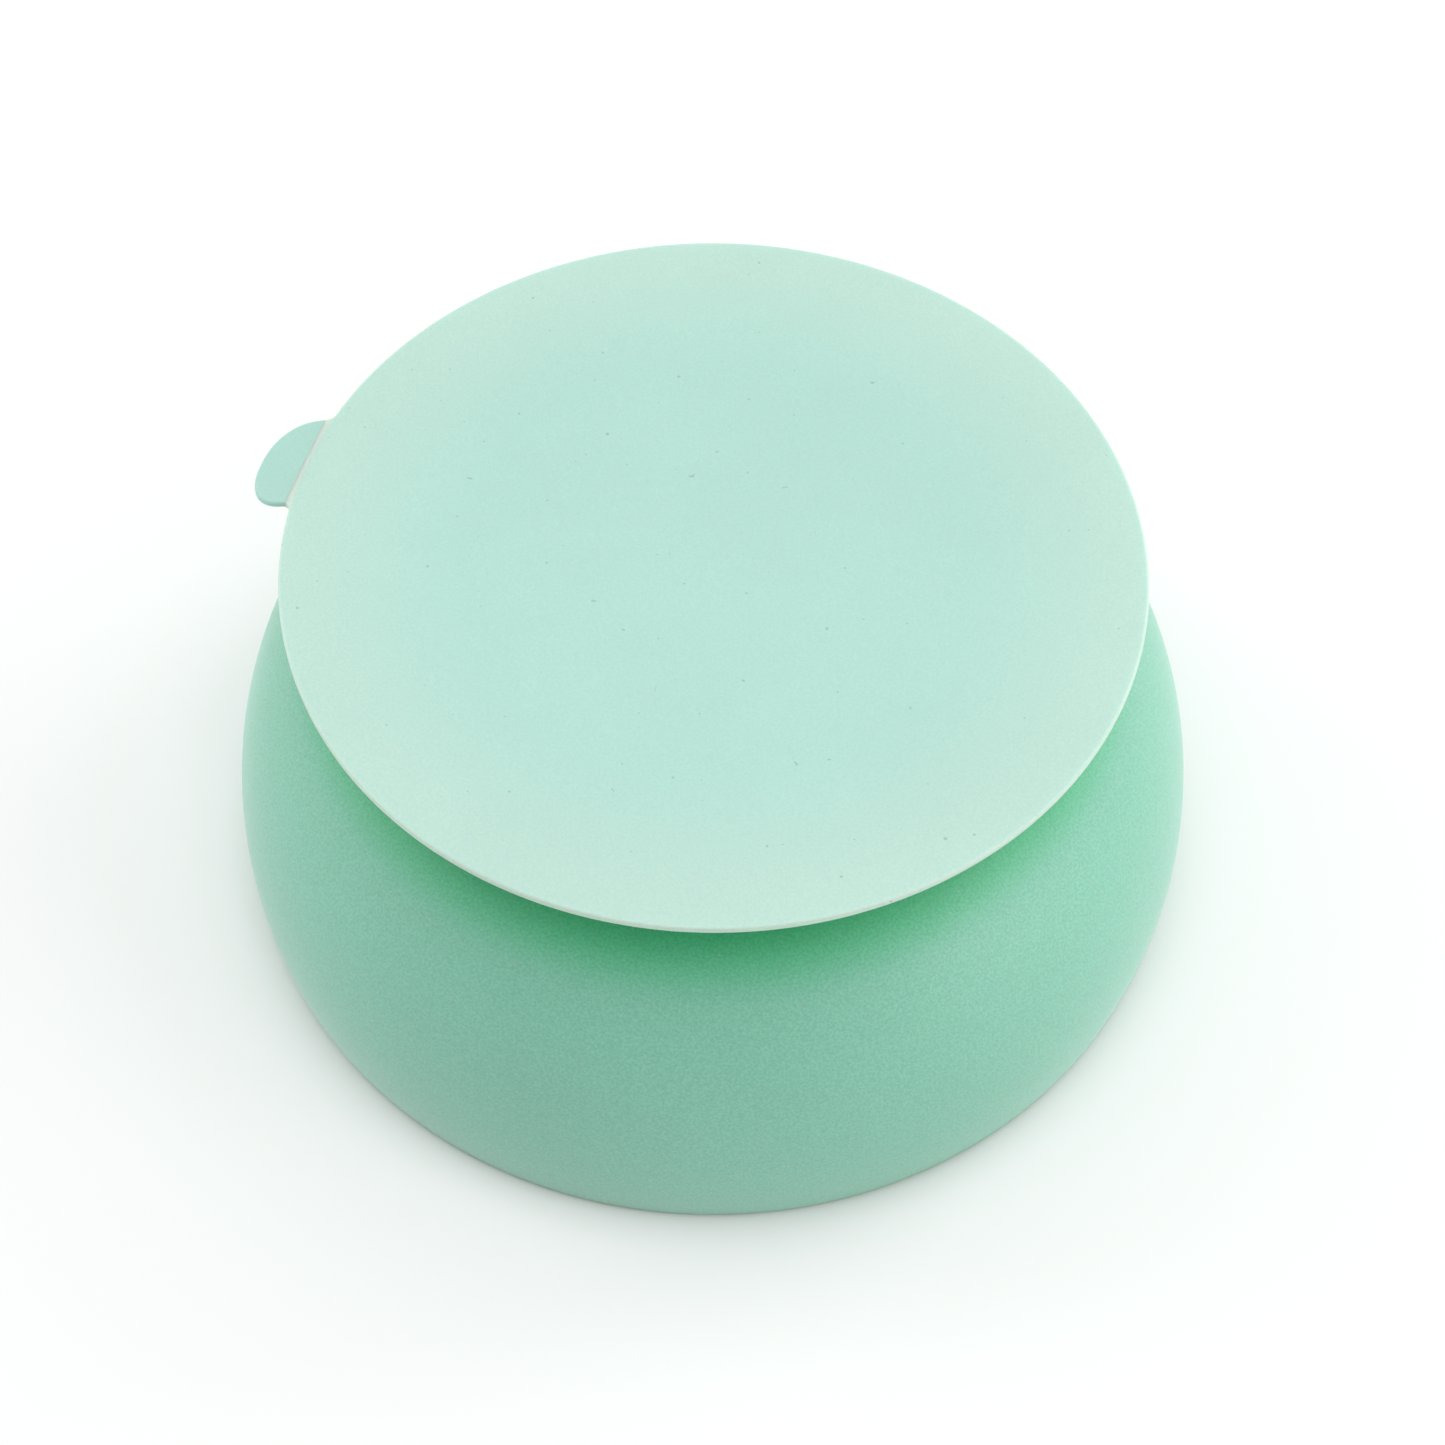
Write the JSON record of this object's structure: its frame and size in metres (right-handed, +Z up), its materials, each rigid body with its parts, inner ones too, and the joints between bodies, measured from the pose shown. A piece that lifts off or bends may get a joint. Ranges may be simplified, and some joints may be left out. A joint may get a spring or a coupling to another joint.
{
  "type": "suction bowl",
  "caption": "Round soft silicone baby bowl with a wide shallow suction disc on a short neck and a half-round release tab, stored turned over on its rim.",
  "frame": {"origin": "centre of the circle that the rim rests on, in the plane of the rim, with the bowl turned over", "axes": "+Z points up out of the suction face, away from the rim, so the bowl opens towards -Z; -X points to the pull tab; the XZ plane is the plane of symmetry. In use the bowl is turned half a turn about Y, and its suction face is stuck to a table or tray."},
  "size_m": [0.124, 0.124, 0.0554],
  "materials": {
    "bowl_silicone": "matte mint green silicone with a fine grain",
    "disc_silicone": "matte mint green silicone, smooth and slightly see-through where it is thin"
  },
  "bodies": {
    "bowl": {"bowl_shell": "bowl_silicone", "neck": "bowl_silicone", "hub_pad": "disc_silicone", "membrane": "disc_silicone"},
    "suction_lip": {"sealing_lip": "disc_silicone"},
    "release_edge": {"release_edge": "disc_silicone"},
    "pull_tab": {"pull_tab": "disc_silicone"}
  },
  "joints": [
    {"name": "disc_press", "type": "slide", "parent": "bowl", "child": "suction_lip", "axis": [0, 0, -1], "range_m": [0, 0.0015], "stiffness_N_per_m": 1500, "deforming": ["membrane"]},
    {"name": "edge_peel", "type": "hinge", "parent": "suction_lip", "child": "release_edge", "pos_m": [-0.045, 0, 0.05472], "axis": [0, -1, 0], "range_deg": [-10, 25], "stiffness_Nm_per_rad": 0.01},
    {"name": "tab_fold", "type": "hinge", "parent": "release_edge", "child": "pull_tab", "pos_m": [-0.0538, 0, 0.05476], "axis": [0, -1, 0], "range_deg": [-30, 45], "stiffness_Nm_per_rad": 0.001}
  ]
}
